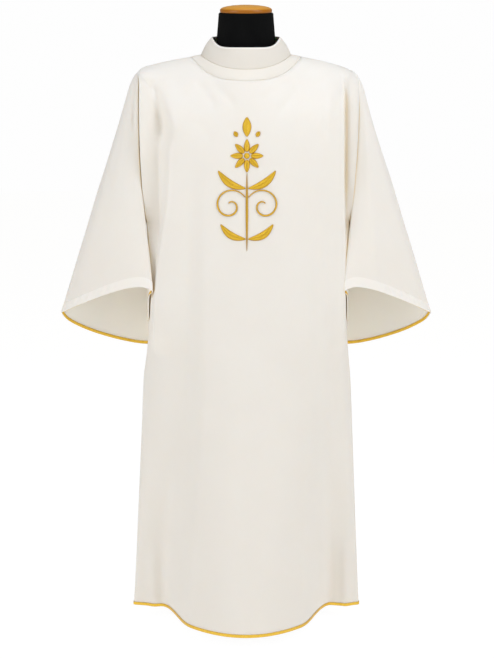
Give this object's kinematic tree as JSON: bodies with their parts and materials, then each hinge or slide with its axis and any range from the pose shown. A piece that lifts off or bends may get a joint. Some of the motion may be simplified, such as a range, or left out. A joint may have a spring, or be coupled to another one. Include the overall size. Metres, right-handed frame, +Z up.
{
  "type": "dalmatic on a dress form",
  "caption": "Wide-sleeved vestment with a stand collar, gold braid at hem and cuffs and a gold flower spray, hanging on a limbless dress form with a round foot.",
  "frame": {"origin": "on the floor under the middle of the round foot", "axes": "+Z up along the pole and the garment's length, -Y out of the garment's front, +X to the right of someone who looks at the front"},
  "size_m": [0.8366, 0.3824, 1.4082],
  "materials": {
    "ivory_cloth": "matte ivory twill",
    "gold_thread": "satin gold metallic thread",
    "black_jersey": "matte black jersey cover",
    "honey_wood": "satin varnished honey-coloured wood",
    "black_steel": "semi-matte black paint"
  },
  "bodies": {
    "root": {"front": "ivory_cloth", "back": "ivory_cloth", "sleeve_left": "ivory_cloth", "sleeve_right": "ivory_cloth", "collar": "ivory_cloth", "neck_band": "ivory_cloth", "hem_braid": "gold_thread", "cuff_braid_left": "gold_thread", "cuff_braid_right": "gold_thread", "spray_flower": "gold_thread", "spray_bud": "gold_thread", "spray_stem": "gold_thread", "spray_leaf_high_left": "gold_thread", "spray_leaf_high_right": "gold_thread", "spray_leaf_low_left": "gold_thread", "spray_leaf_low_right": "gold_thread", "spray_tendril_left": "gold_thread", "spray_tendril_right": "gold_thread", "spray_berry_left": "gold_thread", "spray_berry_right": "gold_thread", "form_torso": "black_jersey", "neck_cap": "honey_wood", "pole": "black_steel", "foot": "black_steel"}
  },
  "joints": []
}
